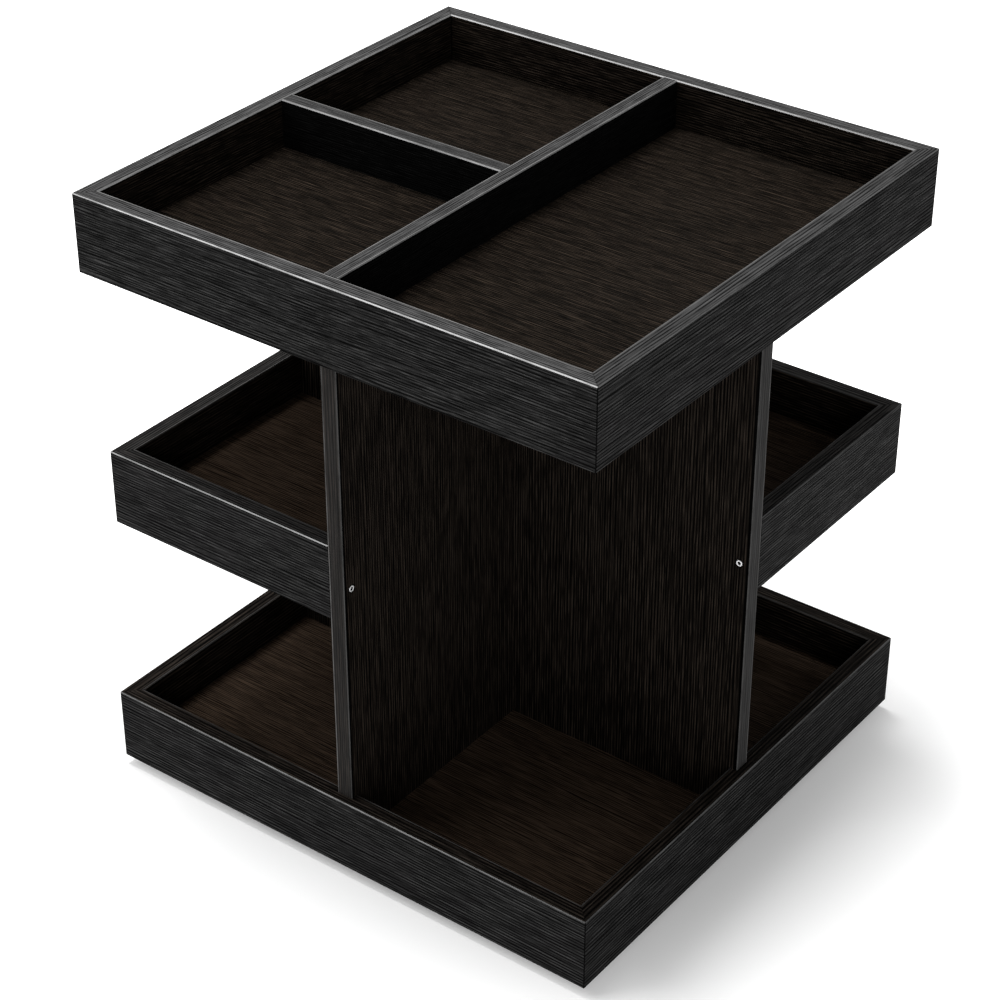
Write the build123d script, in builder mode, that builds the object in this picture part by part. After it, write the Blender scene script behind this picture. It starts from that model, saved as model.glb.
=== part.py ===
from build123d import *
import os

# Rotating perfume organizer: a wooden carousel of two trays on crossed panels, with two corner shelves,
# which turns on a ball-race swivel over a round foot. The origin is on the ground, on the turning axis.

# Overall plan and boards
plan_x = 262.0  # outside of the base and the top tray, left to right
plan_y = 250.0  # outside of the base and the top tray, front to back
wall_height = 36.5
wall_thick = 8.0
floor_thick = 6.0
panel_thick = 8.0
divider_thick = 7.5
arris = 0.4  # eased edges of the boards

# Heights
panel_height = 247.0  # from the base floor up to the top tray's floor
lower_clear = 115.0  # free height under the corner shelves

# Joinery
groove_lift = 8.0  # from a wall's lower edge up to the groove for its floor
groove_depth = 2.5
housing_depth = 2.0  # how far a divider's tongue enters a wall
housing_stop = 4.0  # from the rim's top down to that tongue
shelf_inset = 4.0  # shelves and panel edges stand back from the base's outside by this
seam_room = 0.1  # play of floors, tongues and half-laps in their grooves
lip_room = 0.25  # play of the panels inside the base rim and the top tray's rim

# Screws
screw_radius = 1.1
screw_head_radius = 1.9
screw_tip = 2.0
screw_sink = 0.2  # a head lies this far below its surface
screw_room = 0.1
socket_radius = 0.95
socket_depth = 0.8
shelf_screw_length = 26.0
shelf_screw_share = 0.67  # of a shelf wall's thickness, from its outer face to its screw
shelf_screw_lift = 15.5  # from a shelf wall's lower edge up to its screw
floor_screw_length = 22.0
base_screw_edge = 18.0  # from the end of a panel's foot to the screw under it
tray_screw_edge = 45.0  # from the end of a panel's head to the screw over it
bearing_screw_length = 10.5
foot_screw_length = 9.0
ring_screw_count = 3

# Swivel
pad_thick = 2.0
pad_radius = 8.0
pad_edge = 3.0  # from the foot disc's edge to a pad
pad_count = 4
disc_thick = 4.0
disc_radius = 95.0
bearing_height = 7.0
ring_clear = 0.5  # each ring stays this far from the board that it doesn't carry
ring_width = 12.2
race_radius = 65.0  # circle of the balls' centres
race_gap = 0.8  # from that circle to each ring's edge
race_room = 0.05
ball_radius = 2.0
ball_count = 12
cage_thick = 1.0
cage_room = 0.6  # above and below the cage
pocket_room = 0.1

# Levels worked out from the sizes above
disc_top = pad_thick + disc_thick
base_floor_under = disc_top + bearing_height
base_bottom = base_floor_under - groove_lift
rim_top = base_bottom + wall_height
panel_foot = base_floor_under + floor_thick
panel_head = panel_foot + panel_height
tray_bottom = panel_head - groove_lift
tray_floor_top = panel_head + floor_thick
shelf_bottom = panel_foot + lower_clear
divider_height = wall_height - groove_lift - floor_thick
tongue_height = divider_height - housing_stop
wide_bottom = rim_top + lip_room  # the panels are wide between the two rims
wide_height = tray_bottom - lip_room - wide_bottom
ring_thick = bearing_height - ring_clear
ball_level = disc_top + bearing_height / 2
cage_height = bearing_height - 2 * cage_room

# Half sizes: the corner shelves with the panels' edges, and the panels' feet inside the rims
shelf_x = plan_x / 2 - shelf_inset
shelf_y = plan_y / 2 - shelf_inset
foot_x = plan_x / 2 - wall_thick - lip_room
foot_y = plan_y / 2 - wall_thick - lip_room
groove_reach = wall_thick - groove_depth + seam_room  # from a wall's outer face to its floor's edge
lap_width = panel_thick + 2 * seam_room
lap_height = panel_height / 2 + seam_room
inner_ring_radius = race_radius - race_gap - ring_width / 2
outer_ring_radius = race_radius + race_gap + ring_width / 2

up = Vector(0, 0, 1)
down = -up
right = Vector(1, 0, 0)
back = Vector(0, 1, 0)

# Where the screws' heads lie: each plane faces out of its head
shelf_screw_level = shelf_bottom + shelf_screw_lift
shelf_screw_x = shelf_x - shelf_screw_share * wall_thick
shelf_screw_y = shelf_y - shelf_screw_share * wall_thick
shelf_screw_places = {
    "left_shelf_front_wall": Plane((panel_thick / 2, -shelf_screw_y, shelf_screw_level), z_dir=right),
    "right_shelf_back_wall": Plane((-panel_thick / 2, shelf_screw_y, shelf_screw_level), z_dir=-right),
    "left_shelf_side_wall": Plane((-shelf_screw_x, panel_thick / 2, shelf_screw_level), z_dir=back),
    "right_shelf_side_wall": Plane((shelf_screw_x, -panel_thick / 2, shelf_screw_level), z_dir=-back),
}
base_screw_x = foot_x - base_screw_edge
base_screw_y = foot_y - base_screw_edge
base_screws_across = [Plane((x, 0, base_floor_under), z_dir=down) for x in (-base_screw_x, base_screw_x)]
base_screws_along = [Plane((0, y, base_floor_under), z_dir=down) for y in (-base_screw_y, base_screw_y)]
tray_screw_x = foot_x - tray_screw_edge
tray_screw_y = foot_y - tray_screw_edge
tray_screws_across = [Plane((-tray_screw_x, 0, tray_floor_top), z_dir=up)]
tray_screws_along = [Plane((0, y, tray_floor_top), z_dir=up) for y in (-tray_screw_y, tray_screw_y)]


def ring_of_places(radius, level, start_share):
    # screw places facing down on a circle, turned by a share of one step
    step = 360 / ring_screw_count
    turns = [step * (number + start_share) for number in range(ring_screw_count)]
    centres = [right.rotate(Axis.Z, turn) * radius + up * level for turn in turns]
    return [Plane(centre, z_dir=down) for centre in centres]


bearing_screw_places = ring_of_places(outer_ring_radius, disc_top + ring_clear, 1 / 2)
foot_screw_places = ring_of_places(inner_ring_radius, pad_thick, 0)

os.makedirs("parts", exist_ok=True)


def keep(piece, label):
    piece.part.label = label
    export_step(piece.part, f"parts/{label}.step")


def sunk_holes(places, depth):
    # clearance holes with a countersink, through a board of this depth
    with Locations(*places):
        CounterSinkHole(
            screw_radius + screw_room,
            screw_head_radius + screw_sink + screw_room,
            depth,
            counter_sink_angle=90,
        )


def pilot_holes(places, passed, length):
    # blind holes for screws that have passed through another board first
    with Locations(*[Plane(place.origin - place.z_dir * passed, z_dir=place.z_dir) for place in places]):
        Hole(screw_radius + screw_room, length - passed + screw_room)


def make_screws(label, places, length):
    with BuildPart() as screws:
        for place in places:
            head = place.origin - place.z_dir * screw_sink
            with BuildSketch(Plane(head, x_dir=place.x_dir, z_dir=-place.y_dir)):
                with BuildLine():
                    Polyline(
                        (0, 0),
                        (screw_head_radius, 0),
                        (screw_radius, screw_radius - screw_head_radius),
                        (screw_radius, screw_tip + screw_sink - length),
                        (0, screw_sink - length),
                        close=True,
                    )
                make_face()
            revolve(axis=Axis(head, place.z_dir))
            with BuildSketch(Plane(head, z_dir=place.z_dir)):
                RegularPolygon(socket_radius, 6)
            extrude(amount=-socket_depth, mode=Mode.SUBTRACT)
    keep(screws, label)


def housing_section():
    # plan of the blind groove that takes a divider's tongue
    Rectangle(housing_depth, divider_thick + 2 * seam_room, align=(Align.MIN, Align.CENTER))


def make_wall(label, outward, face, near, far, bottom, butt=0, housed=False):
    # A rim board whose outer face stands "face" from the axis and runs from near to far along its length.
    # Its ends are mitred, apart from the butt end (-1 near, 1 far), which meets a panel.
    along = outward.cross(up)
    foot = outward * face + up * bottom
    with BuildPart() as wall:
        with BuildSketch(Plane(foot + along * near, x_dir=outward, z_dir=along)) as section:
            Rectangle(wall_thick, wall_height, align=(Align.MAX, Align.MIN))
            chamfer(section.vertices(), arris)
            with Locations((-wall_thick, groove_lift)):
                Rectangle(
                    groove_depth,
                    floor_thick + seam_room,
                    align=(Align.MIN, Align.MIN),
                    mode=Mode.SUBTRACT,
                )
        extrude(amount=far - near)
        for end, reach in ((-1, near), (1, far)):
            corner = foot + along * reach
            if end == butt:
                pilot_holes([shelf_screw_places[label]], panel_thick, shelf_screw_length)
            else:
                split(bisect_by=Plane(corner, z_dir=along * end - outward), keep=Keep.BOTTOM)
                eased = Plane(corner - outward * arris, z_dir=along * end + outward)
                split(bisect_by=eased, keep=Keep.BOTTOM)
        if housed:
            inner_face = outward * (face - wall_thick) + up * tray_floor_top
            with BuildSketch(Plane(inner_face, x_dir=outward, z_dir=up)):
                housing_section()
            extrude(amount=tongue_height + seam_room, mode=Mode.SUBTRACT)
    keep(wall, label)


def divider_outline(near, far):
    # face of a divider between two boards, with a stopped tongue at each end
    tongue = housing_depth - seam_room
    with Locations((near, 0)):
        Rectangle(far - near, divider_height, align=(Align.MIN, Align.MIN))
    with Locations((near - tongue, 0)):
        Rectangle(far - near + 2 * tongue, tongue_height, align=(Align.MIN, Align.MIN))


def panel_outline(foot_half, wide_half, lap_edge, lap_align):
    # face of a crossed panel: narrow inside the rims, wide between them, with a half-lap slot
    with Locations((0, panel_foot)):
        Rectangle(2 * foot_half, panel_height, align=(Align.CENTER, Align.MIN))
    with Locations((0, wide_bottom)):
        Rectangle(2 * wide_half, wide_height, align=(Align.CENTER, Align.MIN))
    with Locations((0, lap_edge)):
        Rectangle(lap_width, lap_height, align=(Align.CENTER, lap_align), mode=Mode.SUBTRACT)


def ring_section(side, level):
    # section of a bearing ring with its V-shaped race: side is -1 inside the balls' circle and 1 outside it
    near_edge = Align.MIN if side > 0 else Align.MAX
    with Locations((race_radius + side * race_gap, level)):
        Rectangle(ring_width, ring_thick, align=(near_edge, Align.MIN))
    with Locations((race_radius, ball_level)):
        race_width = 2 * (ball_radius + race_room)
        Rectangle(race_width, race_width, rotation=45, mode=Mode.SUBTRACT)


# Rims of the base and the top tray
sides = {
    "front": (-back, plan_y / 2, plan_x / 2),
    "back": (back, plan_y / 2, plan_x / 2),
    "left": (-right, plan_x / 2, plan_y / 2),
    "right": (right, plan_x / 2, plan_y / 2),
}
for side, (outward, face, half_length) in sides.items():
    make_wall(f"base_wall_{side}", outward, face, -half_length, half_length, base_bottom)
    holds_divider = side != "right"
    make_wall(
        f"top_wall_{side}", outward, face, -half_length, half_length, tray_bottom, housed=holds_divider
    )

# Base floor, with holes for the panels' screws and the swivel's
with BuildPart() as base_floor:
    with BuildSketch(Plane.XY.offset(base_floor_under)):
        Rectangle(plan_x - 2 * groove_reach, plan_y - 2 * groove_reach)
    extrude(amount=floor_thick)
    sunk_holes(base_screws_across + base_screws_along, floor_thick)
    pilot_holes(bearing_screw_places, ring_thick, bearing_screw_length)
keep(base_floor, "base_floor")
make_screws("base_floor_screws", base_screws_across + base_screws_along, floor_screw_length)

# Crossed panels: one is slotted from its head, the other from its foot
with BuildPart() as panel_across:
    with BuildSketch(Plane.XZ):
        panel_outline(foot_x, shelf_x, panel_head, Align.MAX)
    extrude(amount=panel_thick / 2, both=True)
    upright_edges = panel_across.edges().filter_by(Axis.Z).group_by(Axis.X)
    chamfer(upright_edges[0] + upright_edges[-1], arris)
    sunk_holes(
        [shelf_screw_places["left_shelf_side_wall"], shelf_screw_places["right_shelf_side_wall"]],
        panel_thick,
    )
    pilot_holes(base_screws_across, floor_thick, floor_screw_length)
    pilot_holes(tray_screws_across, floor_thick, floor_screw_length)
keep(panel_across, "panel_across")

with BuildPart() as panel_along:
    with BuildSketch(Plane.YZ):
        panel_outline(foot_y, shelf_y, panel_foot, Align.MIN)
    extrude(amount=panel_thick / 2, both=True)
    upright_edges = panel_along.edges().filter_by(Axis.Z).group_by(Axis.Y)
    chamfer(upright_edges[0] + upright_edges[-1], arris)
    sunk_holes(
        [shelf_screw_places["left_shelf_front_wall"], shelf_screw_places["right_shelf_back_wall"]],
        panel_thick,
    )
    pilot_holes(base_screws_along, floor_thick, floor_screw_length)
    pilot_holes(tray_screws_along, floor_thick, floor_screw_length)
keep(panel_along, "panel_along")

# Corner shelves in two opposite bays: the right one is the left one turned half round
for hand, facing, turn in (("left", "front", 1), ("right", "back", -1)):
    make_wall(
        f"{hand}_shelf_{facing}_wall", back * -turn, shelf_y, panel_thick / 2, shelf_x, shelf_bottom, butt=-1
    )
    make_wall(
        f"{hand}_shelf_side_wall", right * -turn, shelf_x, -shelf_y, -panel_thick / 2, shelf_bottom, butt=1
    )
    with BuildPart() as shelf_floor:
        floor_x = shelf_x - groove_reach - panel_thick / 2
        floor_y = shelf_y - groove_reach - panel_thick / 2
        with BuildSketch(Plane.XY.offset(shelf_bottom + groove_lift)):
            with Locations((-turn * (panel_thick + floor_x) / 2, -turn * (panel_thick + floor_y) / 2)):
                Rectangle(floor_x, floor_y)
        extrude(amount=floor_thick)
    keep(shelf_floor, f"{hand}_shelf_floor")
make_screws("shelf_screws", shelf_screw_places.values(), shelf_screw_length)

# Top tray's floor and dividers
with BuildPart() as top_floor:
    with BuildSketch(Plane.XY.offset(panel_head)):
        Rectangle(plan_x - 2 * groove_reach, plan_y - 2 * groove_reach)
    extrude(amount=floor_thick)
    sunk_holes(tray_screws_across + tray_screws_along, floor_thick)
keep(top_floor, "top_floor")
make_screws("tray_floor_screws", tray_screws_across + tray_screws_along, floor_screw_length)

with BuildPart() as long_divider:
    with BuildSketch(Plane((-divider_thick / 2, 0, tray_floor_top), x_dir=back, z_dir=right)):
        divider_outline(wall_thick - plan_y / 2, plan_y / 2 - wall_thick)
    extrude(amount=divider_thick)
    chamfer(long_divider.edges().filter_by(Axis.Y).group_by(Axis.Z)[-1], arris)
    with BuildSketch(Plane((-divider_thick / 2, 0, tray_floor_top), x_dir=right, z_dir=up)):
        housing_section()
    extrude(amount=tongue_height + seam_room, mode=Mode.SUBTRACT)
keep(long_divider, "long_divider")

with BuildPart() as short_divider:
    with BuildSketch(Plane((0, divider_thick / 2, tray_floor_top), x_dir=right, z_dir=-back)):
        divider_outline(wall_thick - plan_x / 2, -divider_thick / 2)
    extrude(amount=divider_thick)
    chamfer(short_divider.edges().filter_by(Axis.X).group_by(Axis.Z)[-1], arris)
keep(short_divider, "short_divider")

# Ball-race swivel
with BuildPart() as bearing_outer_ring:
    with BuildSketch(Plane.XZ):
        ring_section(1, disc_top + ring_clear)
    revolve(axis=Axis.Z)
    sunk_holes(bearing_screw_places, ring_thick)
keep(bearing_outer_ring, "bearing_outer_ring")
make_screws("bearing_screws", bearing_screw_places, bearing_screw_length)

with BuildPart() as bearing_inner_ring:
    with BuildSketch(Plane.XZ):
        ring_section(-1, disc_top)
    revolve(axis=Axis.Z)
    pilot_holes(foot_screw_places, disc_thick, foot_screw_length)
keep(bearing_inner_ring, "bearing_inner_ring")

with BuildPart() as bearing_balls:
    with Locations((0, 0, ball_level)):
        with PolarLocations(race_radius, ball_count):
            Sphere(ball_radius)
keep(bearing_balls, "bearing_balls")

with BuildPart() as bearing_cage:
    with BuildSketch(Plane.XY.offset(ball_level - cage_height / 2)):
        Circle(race_radius + cage_thick / 2)
        Circle(race_radius - cage_thick / 2, mode=Mode.SUBTRACT)
    extrude(amount=cage_height)
    with Locations((0, 0, ball_level)):
        with PolarLocations(race_radius, ball_count):
            Cylinder(
                ball_radius + pocket_room, 2 * ball_radius, rotation=(0, 90, 0), mode=Mode.SUBTRACT
            )
keep(bearing_cage, "bearing_cage")

# Foot
with BuildPart() as foot_disc:
    with BuildSketch(Plane.XY.offset(pad_thick)):
        Circle(disc_radius)
    extrude(amount=disc_thick)
    sunk_holes(foot_screw_places, disc_thick)
    outer_edges = foot_disc.edges().filter_by(GeomType.CIRCLE).sort_by(SortBy.RADIUS)[-2:]
    chamfer(outer_edges, arris)
keep(foot_disc, "foot_disc")
make_screws("foot_screws", foot_screw_places, foot_screw_length)

with BuildPart() as foot_pads:
    with BuildSketch(Plane.XY):
        with PolarLocations(disc_radius - pad_edge - pad_radius, pad_count):
            Circle(pad_radius)
    extrude(amount=pad_thick)
    chamfer(foot_pads.edges().group_by(Axis.Z)[0], arris)
keep(foot_pads, "foot_pads")
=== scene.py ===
import math

import bmesh
import bpy
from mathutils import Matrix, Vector


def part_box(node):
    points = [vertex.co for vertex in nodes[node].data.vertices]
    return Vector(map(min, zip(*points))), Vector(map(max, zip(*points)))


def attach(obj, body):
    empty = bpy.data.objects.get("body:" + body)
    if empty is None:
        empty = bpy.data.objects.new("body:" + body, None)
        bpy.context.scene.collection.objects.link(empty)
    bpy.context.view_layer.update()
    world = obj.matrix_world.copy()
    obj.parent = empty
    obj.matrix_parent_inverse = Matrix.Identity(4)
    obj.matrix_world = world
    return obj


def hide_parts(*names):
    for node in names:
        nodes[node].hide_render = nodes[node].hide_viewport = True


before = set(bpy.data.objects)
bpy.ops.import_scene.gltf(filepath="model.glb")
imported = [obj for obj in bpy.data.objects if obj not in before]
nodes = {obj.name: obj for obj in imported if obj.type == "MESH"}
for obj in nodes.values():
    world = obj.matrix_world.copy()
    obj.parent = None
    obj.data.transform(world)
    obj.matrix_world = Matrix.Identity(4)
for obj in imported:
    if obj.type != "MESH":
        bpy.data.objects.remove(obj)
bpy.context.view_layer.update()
print("frame loaded:", len(nodes), "nodes")


# small helpers for node trees

def feed(tree, value, socket):
    # a socket is linked, anything else is set as its value
    if isinstance(value, bpy.types.NodeSocket):
        tree.links.new(value, socket)
    else:
        socket.default_value = value


def addNode(tree, kind, sockets=None, **settings):
    node = tree.nodes.new(kind)
    for name, value in settings.items():
        setattr(node, name, value)
    for name, value in (sockets or {}).items():
        feed(tree, value, node.inputs[name])
    return node


def calc(tree, operation, first, second=0.0, clamp=False):
    node = addNode(tree, "ShaderNodeMath", {0: first, 1: second}, operation=operation, use_clamp=clamp)
    return node.outputs[0]


def times(tree, first, *others):
    for other in others:
        first = calc(tree, "MULTIPLY", first, other)
    return first


def vectorCalc(tree, operation, first, second):
    return addNode(tree, "ShaderNodeVectorMath", {0: first, 1: second}, operation=operation).outputs


def axes(tree, vector):
    return addNode(tree, "ShaderNodeSeparateXYZ", {0: vector}).outputs


def near(tree, value, centre, reach):
    # 1 where the value lies within reach of centre
    node = addNode(tree, "ShaderNodeMath", {0: value, 1: centre, 2: reach}, operation="COMPARE")
    return node.outputs[0]


def remap(tree, value, low, high, toLow=0.0, toHigh=1.0, smooth=False):
    node = addNode(tree, "ShaderNodeMapRange", {0: value, 1: low, 2: high, 3: toLow, 4: toHigh})
    node.interpolation_type = "SMOOTHSTEP" if smooth else "LINEAR"
    return node.outputs[0]


def fade(tree, mask, atNone, atFull):
    # one value where the mask is 0, the other where it is 1
    return remap(tree, mask, 0.0, 1.0, atNone, atFull)


def mixTone(tree, share, first, second):
    node = addNode(tree, "ShaderNodeMix", data_type="RGBA", blend_type="MIX")
    for index, value in ((0, share), (6, first), (7, second)):  # factor and the two colour sockets
        feed(tree, value, node.inputs[index])
    return node.outputs[2]


def stretchedNoise(tree, vector, scales, detail, rough=0.55, warp=0.0):
    stretched = vectorCalc(tree, "MULTIPLY", vector, scales)[0]
    noise = addNode(tree, "ShaderNodeTexNoise", {
        "Vector": stretched, "Scale": 1.0, "Detail": detail, "Roughness": rough, "Distortion": warp})
    return noise.outputs["Fac"]


def patchyBreakup(tree, vector, look):
    noise = stretchedNoise(tree, vector, look["patchScales"], look["patchDetail"], look["patchRough"])
    return remap(tree, noise, *look["patchRange"], *look["patchShare"])


def startGroup(name, inputs, outputs):
    # an input with no value is a vector, the other inputs and all outputs are floats
    tree = bpy.data.node_groups.new(name, "ShaderNodeTree")
    for socketName, value in inputs.items():
        kind = "NodeSocketVector" if value is None else "NodeSocketFloat"
        socket = tree.interface.new_socket(socketName, in_out="INPUT", socket_type=kind)
        if value is not None:
            socket.default_value = value
    for socketName in outputs:
        tree.interface.new_socket(socketName, in_out="OUTPUT", socket_type="NodeSocketFloat")
    return tree, tree.nodes.new("NodeGroupInput").outputs, tree.nodes.new("NodeGroupOutput").inputs


def endGroup(tree, out, values):
    for name, value in values.items():
        feed(tree, value, out[name])
    return tree


def useGroup(tree, group, sockets):
    node = tree.nodes.new("ShaderNodeGroup")
    node.node_tree = group
    for name, value in sockets.items():
        feed(tree, value, node.inputs[name])
    return node.outputs


def startMaterial(name):
    material = bpy.data.materials.new(name)
    material.use_nodes = True
    tree = material.node_tree
    return material, tree, tree.nodes["Principled BSDF"]


def opaque(colour):
    return (*colour, 1.0)


# shared effects

grainLook = {  # scales count noise features to a line's length, then to a line's gap
    "detail": 2.0, "rough": 0.6,
    "wanderScales": (0.12, 0.10, 0.10), "wanderRough": 0.5, "wander": 3.0,
    "jitterScales": (0.45, 0.6, 0.6),
    "breakScales": (1.4, 0.9, 0.9), "breakRange": (0.34, 0.48), "grooveWall": (0.09, 0.27),
    "rubScales": (2.6, 1.3, 1.3), "rubRange": (0.42, 0.66), "crestWall": (0.26, 0.44),
    "fibreScales": (1.8, 1.8, 1.8), "fibreRange": (0.34, 0.66),
    "pithPlace": (0.0, 0.021, 0.034), "pithLean": (0.0, 0.045, 0.06),
    "wobbleScales": (4.0, 22.0, 22.0), "wobble": 2.4, "ringEdge": (0.86, 1.0),  # these scales are per metre
    "fibreHeight": 0.3, "crestHeight": 0.3,
}


def makeGrainGroup(look):
    # stained open grain: x of the vector runs along the board, in metres
    tree, given, out = startGroup(
        "woodGrain",
        {"Vector": None, "Line Gap": 0.0016, "Line Length": 0.05, "Ring Width": 0.011, "Unevenness": 1.4},
        ["Fibre", "Lines", "Crests", "Rings", "Height"],
    )
    across = calc(tree, "DIVIDE", 1.0, given["Line Gap"])
    along = calc(tree, "DIVIDE", 1.0, given["Line Length"])
    baseScale = addNode(tree, "ShaderNodeCombineXYZ", {"X": along, "Y": across, "Z": across}).outputs[0]

    def layer(scales, rough=look["rough"]):
        scaled = vectorCalc(tree, "MULTIPLY", baseScale, scales)[0]
        return stretchedNoise(tree, given["Vector"], scaled, look["detail"], rough)

    # grooves lie side by side across the board, a line gap apart, and wander along it
    sides = axes(tree, given["Vector"])
    count = times(tree, calc(tree, "ADD", sides[1], sides[2]), across)
    wander = times(tree, layer(look["wanderScales"], look["wanderRough"]), look["wander"])
    jitter = times(tree, layer(look["jitterScales"]), given["Unevenness"])
    count = calc(tree, "ADD", count, calc(tree, "ADD", wander, jitter))
    ridge = calc(tree, "PINGPONG", count, 0.5)  # 0 in the middle of a groove, 0.5 on a crest
    broken = remap(tree, layer(look["breakScales"]), *look["breakRange"])
    lines = times(tree, remap(tree, ridge, *look["grooveWall"], 1.0, 0.0, smooth=True), broken)
    # thin rubbed crests between the grooves catch the light
    rubbedAndLit = remap(tree, layer(look["rubScales"]), *look["rubRange"])
    crests = times(tree, remap(tree, ridge, *look["crestWall"], smooth=True), rubbedAndLit)
    fibre = remap(tree, layer(look["fibreScales"]), *look["fibreRange"])
    # growth rings about a pith that leans away from the board's length
    lean = addNode(tree, "ShaderNodeMapping", {
        "Vector": given["Vector"], "Location": look["pithPlace"], "Rotation": look["pithLean"]})
    wobble = stretchedNoise(tree, given["Vector"], look["wobbleScales"], look["detail"])
    parts = axes(tree, lean.outputs[0])
    reach = calc(tree, "ADD", times(tree, parts[1], parts[1]), times(tree, parts[2], parts[2]))
    reach = calc(tree, "SQRT", reach)
    turns = calc(tree, "DIVIDE", reach, given["Ring Width"])
    turns = calc(tree, "ADD", turns, times(tree, wobble, look["wobble"]))
    rings = calc(tree, "FRACT", turns)
    rings = times(tree, rings, remap(tree, rings, *look["ringEdge"], 1.0, 0.0, smooth=True))
    height = times(tree, fibre, look["fibreHeight"])
    height = calc(tree, "ADD", height, times(tree, crests, look["crestHeight"]))
    height = calc(tree, "SUBTRACT", height, lines)
    return endGroup(tree, out, {
        "Fibre": fibre, "Lines": lines, "Crests": crests, "Rings": rings, "Height": height})


faceLook = {
    # a value of the normal and how far it may be off
    "upperSlope": (0.707, 0.15), "uprightSlope": (0.5, 0.12), "flat": (1.0, 0.1),
    "inward": -0.02,  # below this a face looks to the object's middle
    "patchScales": (55.0, 55.0, 55.0), "patchDetail": 4.0, "patchRough": 0.7,
    "patchRange": (0.30, 0.55), "patchShare": (0.45, 1.0),
}


def makeFaceGroup(look):
    # which face of a board this is, from its own normal
    tree, given, out = startGroup(
        "boardFaces",
        {"Normal": None, "Vector": None},
        ["Upper Arris", "Upright Arris", "Top", "X Face", "Y Face", "Inner Face"],
    )
    parts = axes(tree, given["Normal"])
    patchy = patchyBreakup(tree, given["Vector"], look)
    diagonal = calc(tree, "ABSOLUTE", times(tree, parts[0], parts[1]))
    level = vectorCalc(tree, "MULTIPLY", given["Vector"], (1.0, 1.0, 0.0))[0]
    facing = vectorCalc(tree, "DOT_PRODUCT", level, given["Normal"])["Value"]
    return endGroup(tree, out, {
        "Upper Arris": times(tree, near(tree, parts[2], *look["upperSlope"]), patchy),
        "Upright Arris": times(tree, near(tree, diagonal, *look["uprightSlope"]), patchy),
        "Top": near(tree, parts[2], *look["flat"]),
        "X Face": near(tree, calc(tree, "ABSOLUTE", parts[0]), *look["flat"]),
        "Y Face": near(tree, calc(tree, "ABSOLUTE", parts[1]), *look["flat"]),
        "Inner Face": calc(tree, "LESS_THAN", facing, look["inward"])})


seamLook = {"edge": (0.2, 1.0)}  # shares of the width between which the hairline fades


def makeSeamGroup(look):
    # hairline where two rim boards meet at 45 degrees: the plan is two setbacks longer in x than in y
    tree, given, out = startGroup("mitreSeam", {"Vector": None, "Setback": 0.006, "Width": 0.0006}, ["Seam"])
    parts = axes(tree, given["Vector"])
    offset = calc(tree, "SUBTRACT", calc(tree, "ABSOLUTE", parts[0]), calc(tree, "ABSOLUTE", parts[1]))
    offset = calc(tree, "ABSOLUTE", calc(tree, "SUBTRACT", offset, given["Setback"]))
    offset = calc(tree, "DIVIDE", offset, given["Width"])
    return endGroup(tree, out, {"Seam": remap(tree, offset, *look["edge"], 1.0, 0.0)})


edgeLineLook = {
    "edge": (0.6, 1.0),  # shares of the band width between which it fades
    "patchScales": (70.0, 70.0, 70.0), "patchDetail": 3.0, "patchRough": 0.6,
    "patchRange": (0.30, 0.55), "patchShare": (0.35, 1.0),
}


def makeEdgeLineGroup(look):
    # thin lines along a narrow face's two long edges, the one nearer to the object's middle and the far one
    tree, given, out = startGroup(
        "edgeLines",
        {"Vector": None, "Across": 0.0, "Centre": 0.0, "Half Width": 0.0036, "Wear": 0.0006},
        ["Near Edge", "Far Edge"],
    )
    offset = calc(tree, "SUBTRACT", calc(tree, "ABSOLUTE", given["Across"]), given["Centre"])
    patchy = patchyBreakup(tree, given["Vector"], look)
    edges = {}
    for name, operation in (("Near Edge", "ADD"), ("Far Edge", "SUBTRACT")):
        inset = calc(tree, operation, given["Half Width"], offset)
        wearAndGleam = remap(tree, calc(tree, "DIVIDE", inset, given["Wear"]), *look["edge"], 1.0, 0.0)
        edges[name] = times(tree, wearAndGleam, patchy)
    return endGroup(tree, out, edges)


handlingLook = {
    "smearDetail": 3.0, "smearRough": 0.6, "smearWarp": 0.6, "smearRange": (0.35, 0.7),
    "speckScales": (40.0, 40.0, 40.0), "speckDetail": 2.0, "speckRange": (0.55, 0.75),
    "upward": (0.6, 1.0),  # dust lies where the normal points up
}


def makeHandlingGroup(look):
    # faint smears and settled dust from use
    tree, given, out = startGroup(
        "handling", {"Vector": None, "Normal": None, "Size": 0.03}, ["Smears", "Dust"])
    scale = calc(tree, "DIVIDE", 1.0, given["Size"])
    scales = addNode(tree, "ShaderNodeCombineXYZ", {"X": scale, "Y": scale, "Z": scale}).outputs[0]
    smears = stretchedNoise(
        tree, given["Vector"], scales, look["smearDetail"], look["smearRough"], look["smearWarp"])
    speckScales = vectorCalc(tree, "MULTIPLY", scales, look["speckScales"])[0]
    specks = stretchedNoise(tree, given["Vector"], speckScales, look["speckDetail"])
    specks = remap(tree, specks, *look["speckRange"])
    upward = axes(tree, given["Normal"])[2]
    return endGroup(tree, out, {
        "Smears": remap(tree, smears, *look["smearRange"]),
        "Dust": times(tree, specks, remap(tree, upward, *look["upward"]))})


grainGroup = makeGrainGroup(grainLook)
faceGroup = makeFaceGroup(faceLook)
seamGroup = makeSeamGroup(seamLook)
edgeLineGroup = makeEdgeLineGroup(edgeLineLook)
handlingGroup = makeHandlingGroup(handlingLook)
print("shared effects made")


# black-stained boards

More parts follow.
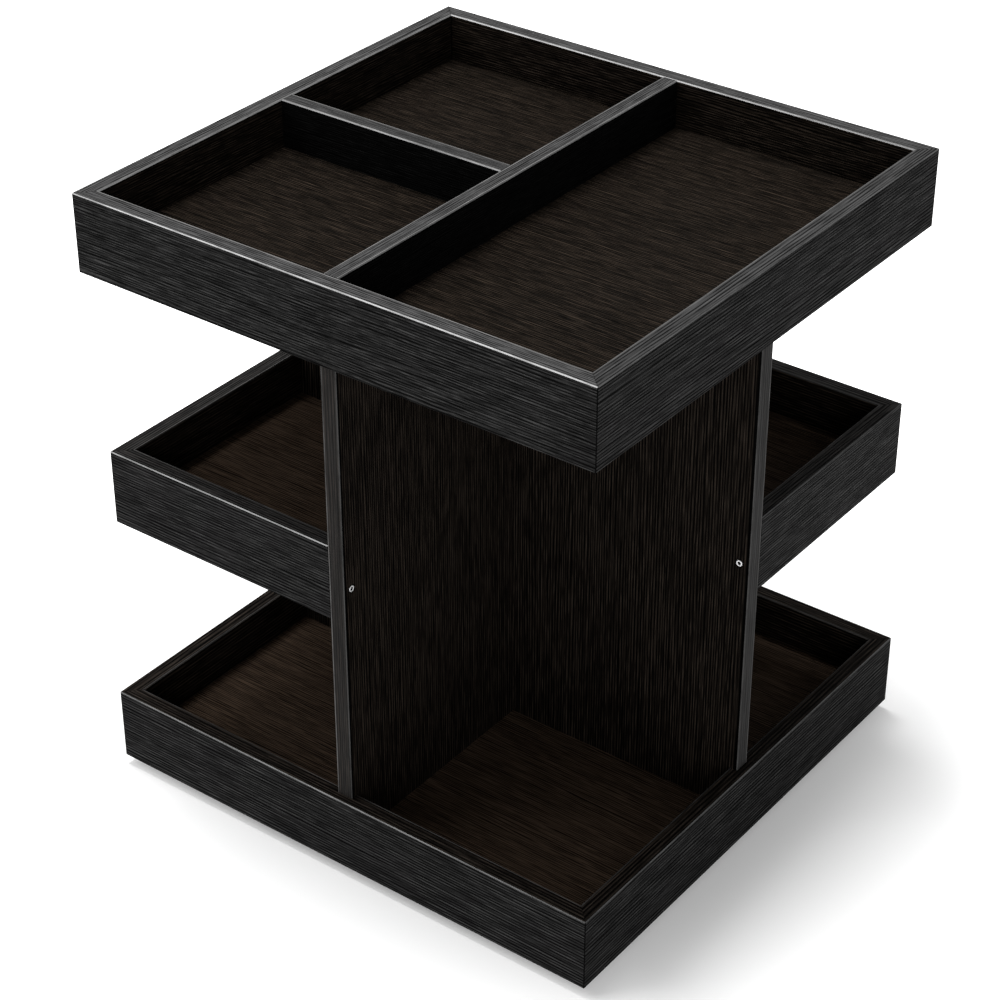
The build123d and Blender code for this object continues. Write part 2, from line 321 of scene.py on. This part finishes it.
stain = {
    "groove": (0.0003, 0.0003, 0.0003),
    "body": (0.0100, 0.0099, 0.0099),
    "fibre": (0.025, 0.0248, 0.0248),
    "crest": (0.056, 0.0555, 0.055),  # fibres rubbed back
    "brownBody": (0.0030, 0.0022, 0.0016),  # darker, warmer tone for inside faces, panels and floors: the wood's brown undertone with painted shade and painted warm glow
    "brownFibre": (0.0145, 0.0105, 0.0074),
    "brownCrest": (0.034, 0.0242, 0.0172),
    "warmGlowBrown": (0.078, 0.0520, 0.0350),  # painted warm glow, in flecks on the lower floors
    # wear with a painted highlight on the upper chamfers
    "arrisWearGleam": (0.05, 0.05, 0.05),
    # wear with a painted highlight on the panels' upright chamfers
    "uprightWearGleam": (0.078, 0.077, 0.076),
    # wear with a painted highlight, for thin lines along edges
    "wearAndGleam": (0.34, 0.335, 0.33),
    # painted sheen: the tops are made lighter, as if lit from above
    "top": (0.095, 0.0945, 0.095),
    "edge": (0.050, 0.0495, 0.0495),  # the panels' end strips; how far a strip goes towards it differs per panel as painted light
    "seam": (0.001, 0.001, 0.001),
    "dust": (0.5, 0.48, 0.45),
    "fleckPower": 1.5,
    "ringFleck": (0.65, 1.1),  # flecks at the start of a growth ring and near its end
    "warmGlowLow": 0.4,  # shares of a lift between the flecks
    "topSheenLow": 0.35,
    "edgeLow": 0.7,
    "grooveShare": 0.95,
    "topGrooves": 0.95,  # shares of the grooves that stay on tops and strips
    "edgeGrooves": 0.3,
    "stripWearGleam": 0.3,
    "topSeam": 0.4,
    "dustShare": 0.008,
    "roughness": (0.66, 0.46),  # between the fibres and on them
    "grooveRough": 0.15,
    "smearGloss": 0.06,
    "specular": 0.009,
    "arrisGloss": 0.2,
    "arrisIndex": 2.1,
    "bump": 0.5,
    "bumpDistance": 0.0003,
}

plainBoard = {  # what a board has unless its own values say otherwise
    "lineGap": 0.0016, "lineLength": 0.05, "uneven": 1.4,  # grain, in metres, and its unevenness
    "shadeAndGlow": 0.0, "warmGlowLift": 0.0,  # darker, warmer tone all over, the brown undertone with painted shade and warm glow, and its painted warm glow in flecks
    "innerShadeAndGlow": 0.0, "paintedTopShade": 0.0,  # the same darker, warmer tone on inside faces (painted shade and warm glow) and on tops (painted shade)
    # painted shade on the sides, painted sheen on the tops, and how light the end strips are, which carries
    # painted light
    "paintedSideShade": 0.0, "topSheen": 0.0, "stripLitShare": 1.0,
    # lighter arrises and edge lines: wear with painted highlights
    "upperArrisWearGleam": 0.0, "uprightArrisWearGleam": 0.0, "wearAndGleam": 0.0, "seamed": False,
}

grainTurns = {  # turns the object's axes so that x runs along the board
    "x": (0.0, 0.0, 0.0),
    "y": (0.0, 0.0, math.radians(-90)),
    "z": (0.0, math.radians(90), 0.0),
}


def crossAxis(grain):
    # number of the level axis across a board's grain
    return 1 if grain == "x" else 0


def stainTone(tree, wood, fleck, names):
    # body, fibres and rubbed crests of one stain
    body, fibre, crest = [opaque(stain[name]) for name in names]
    return mixTone(tree, wood["Crests"], mixTone(tree, fleck, body, fibre), crest)


def makeBoardWood(name, grain, shift, values, span=None, strip=None):
    look = {**plainBoard, **values}
    material, tree, shader = startMaterial(name)
    coords = addNode(tree, "ShaderNodeTexCoord").outputs
    place = coords["Object"]
    turned = addNode(tree, "ShaderNodeMapping", {
        "Vector": place, "Rotation": grainTurns[grain], "Location": shift}).outputs[0]
    wood = useGroup(tree, grainGroup, {
        "Vector": turned, "Line Gap": look["lineGap"], "Line Length": look["lineLength"],
        "Unevenness": look["uneven"]})
    faces = useGroup(tree, faceGroup, {"Normal": coords["Normal"], "Vector": place})
    use = useGroup(tree, handlingGroup, {"Vector": place, "Normal": coords["Normal"]})
    sides = axes(tree, place)
    top = faces["Top"]
    fleck = calc(tree, "POWER", wood["Fibre"], stain["fleckPower"])
    fleck = times(tree, fleck, fade(tree, wood["Rings"], *stain["ringFleck"]))

    def byFleck(lift, low):
        return fade(tree, fleck, low * lift, lift)

    tone = stainTone(tree, wood, fleck, ("body", "fibre", "crest"))
    grooves = times(tree, wood["Lines"], stain["grooveShare"])
    # darker, warmer tone, the brown undertone with painted shade and warm glow, on inside faces or all over
    if look["shadeAndGlow"] or look["innerShadeAndGlow"]:
        share = look["shadeAndGlow"]
        if look["innerShadeAndGlow"]:
            share = times(tree, faces["Inner Face"], look["innerShadeAndGlow"])
        # painted shade: the tops are darkened to the darker, warmer tone
        if look["paintedTopShade"]:
            share = calc(tree, "MAXIMUM", share, times(tree, top, look["paintedTopShade"]))
        shadedWarmTone = stainTone(tree, wood, fleck, ("brownBody", "brownFibre", "brownCrest"))
        # painted warm glow: lighter brown flecks
        if look["warmGlowLift"]:
            glowShare = byFleck(look["warmGlowLift"], stain["warmGlowLow"])
            shadedWarmTone = mixTone(tree, glowShare, shadedWarmTone, opaque(stain["warmGlowBrown"]))
        tone = mixTone(tree, share, tone, shadedWarmTone)
    # painted shade: all faces but the top are darkened towards the groove colour
    if look["paintedSideShade"]:
        share = times(tree, calc(tree, "SUBTRACT", 1.0, top), look["paintedSideShade"])
        tone = mixTone(tree, share, tone, opaque(stain["groove"]))
    # painted sheen: the tops are made lighter, as if lit from above
    if look["topSheen"]:
        share = times(tree, top, byFleck(look["topSheen"], stain["topSheenLow"]))
        tone = mixTone(tree, share, tone, opaque(stain["top"]))
        grooves = times(tree, grooves, fade(tree, top, 1.0, stain["topGrooves"]))
    upright = faces["Upright Arris"]
    if strip:
        # the panel's end faces look like lighter strips
        axis, start = strip
        endFace = faces[("X Face", "Y Face")[axis]]
        share = times(tree, endFace, byFleck(look["stripLitShare"], stain["edgeLow"]))
        tone = mixTone(tree, share, tone, opaque(stain["edge"]))
        grooves = times(tree, grooves, fade(tree, endFace, 1.0, stain["edgeGrooves"]))
        # dark joint on the panel's broad faces, beside the strip
        outer = calc(tree, "GREATER_THAN", calc(tree, "ABSOLUTE", sides[axis]), start)
        joint = times(tree, outer, calc(tree, "SUBTRACT", 1.0, endFace))
        grooves = calc(tree, "MAXIMUM", grooves, joint)
        upright = times(tree, upright, outer)  # the countersinks stay dark
        # the strips get a lighter line, wear with a painted highlight, on the side of the shelf bays, where
        # x and y have one sign
        rubbedAndLit = useGroup(tree, edgeLineGroup, {
            "Vector": place, "Across": sides[1 - axis], "Half Width": span[1]})["Far Edge"]
        beside = calc(tree, "GREATER_THAN", times(tree, sides[0], sides[1]), 0.0)
        rubbedAndLit = times(tree, rubbedAndLit, beside, endFace, stain["stripWearGleam"])
        tone = mixTone(tree, rubbedAndLit, tone, opaque(stain["wearAndGleam"]))
    tone = mixTone(tree, grooves, tone, opaque(stain["groove"]))
    # lighter arrises: wear with a painted highlight
    for mask, share, colour in (
        (faces["Upper Arris"], look["upperArrisWearGleam"], "arrisWearGleam"),
        (upright, look["uprightArrisWearGleam"], "uprightWearGleam"),
    ):
        if share:
            tone = mixTone(tree, times(tree, mask, share), tone, opaque(stain[colour]))
    if look["wearAndGleam"]:
        # lighter lines, wear with a painted highlight: a rim's along its inner edge, a divider's on the
        # middle line along both
        edge = "Near Edge" if span[0] > span[1] else "Far Edge"
        rubbedAndLit = useGroup(tree, edgeLineGroup, {
            "Vector": place, "Across": sides[crossAxis(grain)],
            "Centre": span[0], "Half Width": span[1]})[edge]
        tone = mixTone(tree, times(tree, rubbedAndLit, top, look["wearAndGleam"]), tone, opaque(stain["wearAndGleam"]))
    if look["seamed"]:
        seam = useGroup(tree, seamGroup, {"Vector": place})["Seam"]
        seam = times(tree, seam, fade(tree, top, 1.0, stain["topSeam"]))
        tone = mixTone(tree, seam, tone, opaque(stain["seam"]))
    tone = mixTone(tree, times(tree, use["Dust"], stain["dustShare"]), tone, opaque(stain["dust"]))
    feed(tree, tone, shader.inputs["Base Color"])
    rough = fade(tree, wood["Fibre"], *stain["roughness"])
    rough = calc(tree, "ADD", rough, times(tree, wood["Lines"], stain["grooveRough"]))
    rough = calc(tree, "SUBTRACT", rough, times(tree, use["Smears"], stain["smearGloss"]), clamp=True)
    feed(tree, rough, shader.inputs["Roughness"])
    shader.inputs["Specular IOR Level"].default_value = stain["specular"]
    if look["upperArrisWearGleam"]:
        feed(tree, times(tree, faces["Upper Arris"], look["upperArrisWearGleam"]), shader.inputs["Coat Weight"])
        shader.inputs["Coat Roughness"].default_value = stain["arrisGloss"]
        shader.inputs["Coat IOR"].default_value = stain["arrisIndex"]
    relief = addNode(tree, "ShaderNodeBump", {
        "Height": wood["Height"], "Strength": stain["bump"], "Distance": stain["bumpDistance"]})
    feed(tree, relief.outputs[0], shader.inputs["Normal"])
    return material


def dress(names, material):
    for name in names:
        mesh = nodes[name].data
        mesh.materials.clear()
        mesh.materials.append(material)


def faceSpan(name, axis, chamfer=0.0004):
    # centre line and half width of a board's narrow face, along one axis
    low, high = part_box(name)
    return abs(low[axis] + high[axis]) / 2, (high[axis] - low[axis]) / 2 - chamfer


def dressRims(names, label, grain, shift, values):
    span = faceSpan(names[0], crossAxis(grain))
    dress(names, makeBoardWood(label, grain, shift, values, span))


topRims = {
    "lineGap": 0.0012, "lineLength": 0.021, "uneven": 1.5, "topSheen": 0.9, "upperArrisWearGleam": 1.0,
    "innerShadeAndGlow": 0.9, "wearAndGleam": 0.35, "seamed": True,
}
# the right wall gets less painted sheen, painted highlight and edge lines, as if turned from the light; its
# grain is coarser too
topRimRightShaded = {
    **topRims, "lineGap": 0.0015, "lineLength": 0.036, "uneven": 0.8, "topSheen": 0.5,
    "upperArrisWearGleam": 0.5, "wearAndGleam": 0.2,
}
dressRims(["top_wall_front", "top_wall_back"], "topRimWoodX", "x", (0.1, 0.0, 0.0), topRims)
dressRims(["top_wall_left"], "topRimWoodLeft", "y", (0.4, 0.2, 0.0), topRims)
dressRims(["top_wall_right"], "topRimWoodRight", "y", (0.5, 0.25, 0.0), topRimRightShaded)

# the base rims get painted shade on their tops
baseRims = {
    "lineGap": 0.0015, "lineLength": 0.036, "uneven": 0.7, "paintedTopShade": 0.8, "upperArrisWearGleam": 0.4,
    "innerShadeAndGlow": 0.9, "wearAndGleam": 0.12, "seamed": True,
}
baseRimSides = {**baseRims, "lineGap": 0.0018}
dressRims(["base_wall_front", "base_wall_back"], "baseRimWoodX", "x", (0.7, 0.1, 0.0), baseRims)
dressRims(["base_wall_left", "base_wall_right"], "baseRimWoodY", "y", (1.1, 0.3, 0.0), baseRimSides)

# the shelf rims get painted shade and painted sheen on their tops
shelfRims = {
    "lineGap": 0.0014, "lineLength": 0.03, "uneven": 0.8, "paintedTopShade": 0.5, "topSheen": 0.3,
    "upperArrisWearGleam": 0.6, "innerShadeAndGlow": 0.9, "wearAndGleam": 0.2, "seamed": True,
}
# the side boards get less painted highlight on their arrises
shelfRimSidesDimmer = {**shelfRims, "upperArrisWearGleam": 0.25}
dressRims(["left_shelf_front_wall", "right_shelf_back_wall"],
          "shelfRimWoodX", "x", (1.4, 0.5, 0.0), shelfRims)
dressRims(["left_shelf_side_wall", "right_shelf_side_wall"],
          "shelfRimWoodY", "y", (1.7, 0.6, 0.0), shelfRimSidesDimmer)

# the dividers get painted shade on their sides
dividers = {
    "lineGap": 0.0010, "lineLength": 0.021, "topSheen": 0.8, "upperArrisWearGleam": 0.6, "paintedSideShade": 0.85,
    "wearAndGleam": 0.35,
}
# the short divider gets less painted sheen on its top
shortDividerDimmer = {**dividers, "topSheen": 0.6}
dressRims(["long_divider"], "longDividerWood", "y", (2.9, 1.4, 0.0), dividers)
dressRims(["short_divider"], "shortDividerWood", "x", (3.2, 1.6, 0.0), shortDividerDimmer)

# the panels take the darker, warmer tone all over: brown undertone with painted shade and warm glow
crossPanels = {"lineGap": 0.0014, "lineLength": 0.036, "uneven": 0.9, "uprightArrisWearGleam": 0.9, "shadeAndGlow": 0.85}
jointWidth = 0.0015  # of the dark joint beside an end strip


def dressPanel(name, label, axis, shift, stripLitShare):
    strip = (axis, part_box(name)[1][axis] - jointWidth)
    values = {**crossPanels, "stripLitShare": stripLitShare}
    dress([name], makeBoardWood(label, "z", shift, values, faceSpan(name, 1 - axis), strip))


# painted light: the across panel's strip is lighter, as if lit from the right, the along panel's darker, as
# if shaded by the tray
dressPanel("panel_across", "acrossPanelWood", 0, (2.0, 0.8, 0.0), 0.95)
dressPanel("panel_along", "alongPanelWood", 1, (2.3, 0.9, 0.3), 0.42)

# the floors take the darker, warmer tone: brown undertone with painted shade; the lower floors also get
# painted warm glow
topFloor = {"lineGap": 0.0011, "lineLength": 0.028, "shadeAndGlow": 0.95}
lowerFloors = {**topFloor, "warmGlowLift": 0.95}
dress(["top_floor"], makeBoardWood("topFloorWood", "x", (2.6, 1.2, 0.0), topFloor))
dress(["base_floor", "left_shelf_floor", "right_shelf_floor"],
      makeBoardWood("lowerFloorWood", "x", (2.6, 1.2, 0.4), lowerFloors))
dress(["foot_disc"], makeBoardWood("footDiscWood", "x", (3.5, 1.9, 0.0), plainBoard))
print("boards dressed")


# metal, plastic and rubber

steelFinishes = {  # polish is the roughness between the fine lines and on them
    "screwSteel": {"colour": (0.86, 0.86, 0.87), "shade": (0.70, 0.70, 0.71), "polish": (0.38, 0.20),
                   "lineScales": (900.0, 900.0, 900.0), "metallic": 0.6},
    # painted shade: the hexagon sockets are near black, as a recess in shade
    "socketShadeSteel": {"colour": (0.02, 0.02, 0.021), "shade": (0.008, 0.008, 0.008), "polish": (0.7, 0.5),
                    "lineScales": (700.0, 700.0, 700.0), "metallic": 1.0},
    "ringSteel": {"colour": (0.55, 0.55, 0.56), "shade": (0.40, 0.40, 0.41), "polish": (0.42, 0.25),
                  "lineScales": (90.0, 90.0, 2600.0), "metallic": 1.0},
    "ballSteel": {"colour": (0.68, 0.68, 0.69), "shade": (0.58, 0.58, 0.59), "polish": (0.16, 0.08),
                  "lineScales": (600.0, 600.0, 600.0), "metallic": 1.0},
}
steelSkin = {"detail": 3.0, "rough": 0.6, "range": (0.3, 0.7), "smearSize": 0.004, "smearRough": 0.08,
             "bump": 0.15, "bumpDistance": 0.00005}


def makeSteel(name):
    finish = steelFinishes[name]
    material, tree, shader = startMaterial(name)
    coords = addNode(tree, "ShaderNodeTexCoord").outputs
    lines = stretchedNoise(
        tree, coords["Object"], finish["lineScales"], steelSkin["detail"], steelSkin["rough"])
    use = useGroup(tree, handlingGroup, {
        "Vector": coords["Object"], "Normal": coords["Normal"], "Size": steelSkin["smearSize"]})
    tone = mixTone(tree, lines, opaque(finish["shade"]), opaque(finish["colour"]))
    feed(tree, tone, shader.inputs["Base Color"])
    rough = remap(tree, lines, *steelSkin["range"], *finish["polish"])
    rough = calc(tree, "ADD", rough, times(tree, use["Smears"], steelSkin["smearRough"]), clamp=True)
    feed(tree, rough, shader.inputs["Roughness"])
    shader.inputs["Metallic"].default_value = finish["metallic"]
    relief = addNode(tree, "ShaderNodeBump", {
        "Height": lines, "Strength": steelSkin["bump"], "Distance": steelSkin["bumpDistance"]})
    feed(tree, relief.outputs[0], shader.inputs["Normal"])
    return material


steels = {name: makeSteel(name) for name in steelFinishes}
dress(["bearing_inner_ring", "bearing_outer_ring"], steels["ringSteel"])
dress(["bearing_balls"], steels["ballSteel"])

mouldedFinishes = {
    "cageNylon": {"colour": (0.74, 0.72, 0.66), "shade": (0.60, 0.58, 0.53), "polish": (0.5, 0.35),
                  "grainSize": 0.0009, "bump": 0.2},
    "padRubber": {"colour": (0.030, 0.030, 0.031), "shade": (0.014, 0.014, 0.014), "polish": (0.85, 0.65),
                  "grainSize": 0.0004, "bump": 0.4},
}
mouldedSkin = {"detail": 3.0, "rough": 0.6, "range": (0.3, 0.7), "smearSize": 0.012, "smearShade": 0.15,
               "bumpDistance": 0.0001}


def makeMoulded(name):
    finish = mouldedFinishes[name]
    material, tree, shader = startMaterial(name)
    coords = addNode(tree, "ShaderNodeTexCoord").outputs
    scale = 1.0 / finish["grainSize"]
    skin = stretchedNoise(
        tree, coords["Object"], (scale, scale, scale), mouldedSkin["detail"], mouldedSkin["rough"])
    use = useGroup(tree, handlingGroup, {
        "Vector": coords["Object"], "Normal": coords["Normal"], "Size": mouldedSkin["smearSize"]})
    shade = opaque(finish["shade"])
    tone = mixTone(tree, skin, shade, opaque(finish["colour"]))
    tone = mixTone(tree, times(tree, use["Smears"], mouldedSkin["smearShade"]), tone, shade)
    feed(tree, tone, shader.inputs["Base Color"])
    rough = remap(tree, skin, *mouldedSkin["range"], *finish["polish"])
    feed(tree, rough, shader.inputs["Roughness"])
    relief = addNode(tree, "ShaderNodeBump", {
        "Height": skin, "Strength": finish["bump"], "Distance": mouldedSkin["bumpDistance"]})
    feed(tree, relief.outputs[0], shader.inputs["Normal"])
    return material


dress(["bearing_cage"], makeMoulded("cageNylon"))
dress(["foot_pads"], makeMoulded("padRubber"))
print("metal, plastic and rubber dressed")


# screws with rounded heads, hexagon sockets and threads

screwShape = {
    "head": 0.0015, "crest": 0.0011, "core": 0.00082, "pitch": 0.0011, "ease": 0.00018, "easeSteps": 3,
    "socket": 0.0009, "socketDepth": 0.0008, "socketEase": 0.00009, "sink": 0.0002,
    "plainShare": 0.2,  # of the length, before the thread starts
    "steepness": 1.6, "tip": 0.002, "tipShare": 0.12,
    "segments": 24, "stepsPerTurn": 5,
}


def hexagonReach(angle, circumradius):
    sector = math.radians(60)
    return circumradius * math.cos(sector / 2) / math.cos((angle % sector) - sector / 2)


def screwRings(shape, length):
    # rows of (depth below the head's face, function of the angle that gives the radius)
    rows = []
    for depth, circumradius in (
        (shape["socketDepth"], shape["socket"]),
        (shape["socketEase"], shape["socket"]),
        (0.0, shape["socket"] + shape["socketEase"]),
    ):
        rows.append((depth, lambda angle, reach=circumradius: hexagonReach(angle, reach)))
    # rounded rim of the head, then the cone under it and the plain shank
    ease = shape["ease"]
    plain = [(0.0, shape["head"] - ease)]
    for step in range(1, shape["easeSteps"] + 1):
        turn = math.radians(90 * step / shape["easeSteps"])
        plain.append((ease * (1 - math.cos(turn)), shape["head"] - ease * (1 - math.sin(turn))))
    cone = shape["head"] - shape["crest"]
    shank = length * shape["plainShare"]
    plain.append((ease + cone / 2, shape["head"] - cone / 2))
    plain.append((ease + cone, shape["crest"]))
    plain.append((shank, shape["crest"]))
    for depth, radius in plain:
        rows.append((depth, lambda angle, reach=radius: reach))
    # the thread grows out of the shank and tapers into the tip
    step = shape["pitch"] / shape["stepsPerTurn"]
    start = shank + step
    end = length - shape["sink"]
    for number in range(int((end - start) / step) + 1):
        depth = start + number * step
        taper = min(1.0, (end - depth) / shape["tip"])
        swell = min(1.0, (depth - start) / shape["pitch"])

        def threadReach(angle, depth=depth, taper=taper, swell=swell):
            wave = 1 - abs(2 * ((depth / shape["pitch"] - angle / math.tau) % 1.0) - 1)
            height = max(0.0, 1 - shape["steepness"] * (1 - wave))
            thread = shape["core"] + (shape["crest"] - shape["core"]) * height
            radius = thread * swell + shape["crest"] * (1 - swell)
            return radius * (shape["tipShare"] + (1 - shape["tipShare"]) * taper)

        rows.append((depth, threadReach))
    return rows


def addScrew(mesh, head, direction, length):
    turn = Vector((0, 0, 1)).rotation_difference(Vector(direction)).to_matrix()
    base = Vector(head) - Vector(direction) * screwShape["sink"]
    count = screwShape["segments"]
    loops = []
    for depth, reach in screwRings(screwShape, length):
        loop = []
        for number in range(count):
            angle = math.tau * number / count
            radius = reach(angle)
            point = Vector((radius * math.cos(angle), radius * math.sin(angle), -depth))
            loop.append(mesh.verts.new(base + turn @ point))
        loops.append(loop)
    for row, (first, second) in enumerate(zip(loops, loops[1:])):
        for number in range(count):
            follow = (number + 1) % count
            face = mesh.faces.new((first[number], second[number], second[follow], first[follow]))
            face.material_index = 1 if row == 0 else 0  # row 0 is the socket's wall
            face.smooth = row > 2  # the socket and the head's face stay flat
    mesh.faces.new(loops[0]).material_index = 1
    mesh.faces.new(list(reversed(loops[-1])))


def makeScrewSet(name, node, body, places, length):
    mesh = bmesh.new()
    for head, direction in places:
        addScrew(mesh, head, direction, length)
    bmesh.ops.recalc_face_normals(mesh, faces=mesh.faces)
    data = bpy.data.meshes.new(name)
    mesh.to_mesh(data)
    mesh.free()
    data.materials.append(steels["screwSteel"])
    data.materials.append(steels["socketShadeSteel"])
    piece = bpy.data.objects.new(name, data)
    bpy.context.scene.collection.objects.link(piece)
    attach(piece, body)
    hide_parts(node)


screwPlaces = {
    "face": 0.004, "shelfX": 0.12164, "shelfY": 0.11564, "shelfLevel": 0.1495, "shelfLength": 0.026,
    "baseX": 0.10475, "baseY": 0.09875, "baseLevel": 0.013, "floorLength": 0.022,
    "trayX": 0.07775, "trayY": 0.07175, "trayLevel": 0.272,
    "ringCount": 3,  # screws on each ring, the first one a share of a step round from x
    "outerRing": 0.0719, "outerLevel": 0.0065, "outerStart": 0.5, "bearingLength": 0.0105,
    "innerRing": 0.0581, "innerLevel": 0.002, "innerStart": 0.0, "footLength": 0.009,
}


def ringPlaces(radius, level, startShare):
    step = math.tau / screwPlaces["ringCount"]
    turns = [step * (number + startShare) for number in range(screwPlaces["ringCount"])]
    return [((radius * math.cos(turn), radius * math.sin(turn), level), (0, 0, -1)) for turn in turns]


def makeAllScrews(at):
    face = at["face"]
    level = at["shelfLevel"]
    makeScrewSet("shelf_screw_set", "shelf_screws", "carousel", [
        ((face, -at["shelfY"], level), (1, 0, 0)),
        ((-face, at["shelfY"], level), (-1, 0, 0)),
        ((-at["shelfX"], face, level), (0, 1, 0)),
        ((at["shelfX"], -face, level), (0, -1, 0)),
    ], at["shelfLength"])
    basePlaces = ((-at["baseX"], 0), (at["baseX"], 0), (0, -at["baseY"]), (0, at["baseY"]))
    makeScrewSet("base_screw_set", "base_floor_screws", "carousel",
                 [((x, y, at["baseLevel"]), (0, 0, -1)) for x, y in basePlaces], at["floorLength"])
    trayPlaces = ((-at["trayX"], 0), (0, -at["trayY"]), (0, at["trayY"]))
    makeScrewSet("tray_screw_set", "tray_floor_screws", "carousel",
                 [((x, y, at["trayLevel"]), (0, 0, 1)) for x, y in trayPlaces], at["floorLength"])
    makeScrewSet("bearing_screw_set", "bearing_screws", "carousel",
                 ringPlaces(at["outerRing"], at["outerLevel"], at["outerStart"]), at["bearingLength"])
    makeScrewSet("foot_screw_set", "foot_screws", "foot",
                 ringPlaces(at["innerRing"], at["innerLevel"], at["innerStart"]), at["footLength"])


makeAllScrews(screwPlaces)
print("screws made")


# floor, light and camera

studio = {
    "floorSize": 8.0, "floorColour": (0.80, 0.80, 0.80), "floorRoughness": 0.9,
    "floorGlow": 0.20, "glowReach": (0.12, 0.40), "white": (1.0, 1.0, 1.0), "ambient": 0.25,
    "key": {"place": (-1.09, -0.94, 1.44), "size": 1.1, "power": 16.0},
    "fill": {"place": (1.1, -1.25, 0.6), "size": 1.0, "power": 9.0},
    "sky": {"place": (-0.32, 0.06, 2.15), "size": 0.8, "power": 47.0},
    "aim": (0.0, 0.0, 0.14),
}


def backgroundRays(tree):
    # 1 for the rays that show the background: straight, mirrored and through glass
    path = addNode(tree, "ShaderNodeLightPath").outputs
    seen = calc(tree, "MAXIMUM", path["Is Camera Ray"], path["Is Glossy Ray"])
    return calc(tree, "MAXIMUM", seen, path["Is Transmission Ray"])


def makeFloor():
    half = studio["floorSize"] / 2
    corners = [(-half, -half, 0), (half, -half, 0), (half, half, 0), (-half, half, 0)]
    mesh = bpy.data.meshes.new("studioFloor")
    mesh.from_pydata(corners, [], [(0, 1, 2, 3)])
    floor = bpy.data.objects.new("studioFloor", mesh)
    bpy.context.scene.collection.objects.link(floor)
    material, tree, shader = startMaterial("paleFloor")
    shader.inputs["Base Color"].default_value = opaque(studio["floorColour"])
    shader.inputs["Roughness"].default_value = studio["floorRoughness"]
    shader.inputs["Specular IOR Level"].default_value = 0.0
    shader.inputs["Emission Color"].default_value = opaque(studio["white"])
    # the floor fades to white away from the object, so that only the shadow shows
    place = addNode(tree, "ShaderNodeTexCoord").outputs["Object"]
    reach = addNode(tree, "ShaderNodeVectorMath", {0: place}, operation="LENGTH").outputs["Value"]
    glow = remap(tree, reach, *studio["glowReach"], studio["floorGlow"], 1.0, smooth=True)
    feed(tree, times(tree, backgroundRays(tree), glow), shader.inputs["Emission Strength"])
    # seen from below, the floor lets the underside show
    clear = addNode(tree, "ShaderNodeBsdfTransparent").outputs[0]
    below = addNode(tree, "ShaderNodeNewGeometry").outputs["Backfacing"]
    mixed = addNode(tree, "ShaderNodeMixShader", {0: below, 1: shader.outputs[0], 2: clear}).outputs[0]
    feed(tree, mixed, tree.nodes["Material Output"].inputs["Surface"])
    mesh.materials.append(material)


def makeWorld():
    world = bpy.data.worlds.new("studioWorld")
    bpy.context.scene.world = world
    world.use_nodes = True
    tree = world.node_tree
    background = tree.nodes["Background"]
    background.inputs["Color"].default_value = opaque(studio["white"])
    feed(tree, fade(tree, backgroundRays(tree), studio["ambient"], 1.0), background.inputs["Strength"])


def setUp(name, data, place, target):
    # a lamp or camera at its place, turned to its target
    holder = bpy.data.objects.new(name, data)
    holder.location = place
    aim = Vector(target) - Vector(place)
    holder.rotation_euler = aim.to_track_quat("-Z", "Y").to_euler()
    bpy.context.scene.collection.objects.link(holder)
    return holder


def makeLamp(name):
    values = studio[name]
    lamp = bpy.data.lights.new(name + "Lamp", "AREA")
    lamp.shape = "SQUARE"
    lamp.size = values["size"]
    lamp.energy = values["power"]
    setUp(name + "Lamp", lamp, values["place"], studio["aim"])


cameraView = {
    "place": (0.5886, -0.7921, 0.7649), "target": (-0.00656, 0.0, 0.12982),
    "lens": 94.36, "sensor": 36.0, "clip": (0.01, 50.0),
}


def makeCamera():
    data = bpy.data.cameras.new("photoCamera")
    data.lens = cameraView["lens"]
    data.sensor_width = cameraView["sensor"]
    data.clip_start, data.clip_end = cameraView["clip"]
    bpy.context.scene.camera = setUp("photoCamera", data, cameraView["place"], cameraView["target"])


makeFloor()
makeWorld()
for lampName in ("key", "fill", "sky"):
    makeLamp(lampName)
makeCamera()
bpy.context.scene.view_settings.view_transform = "Standard"
print("studio ready")
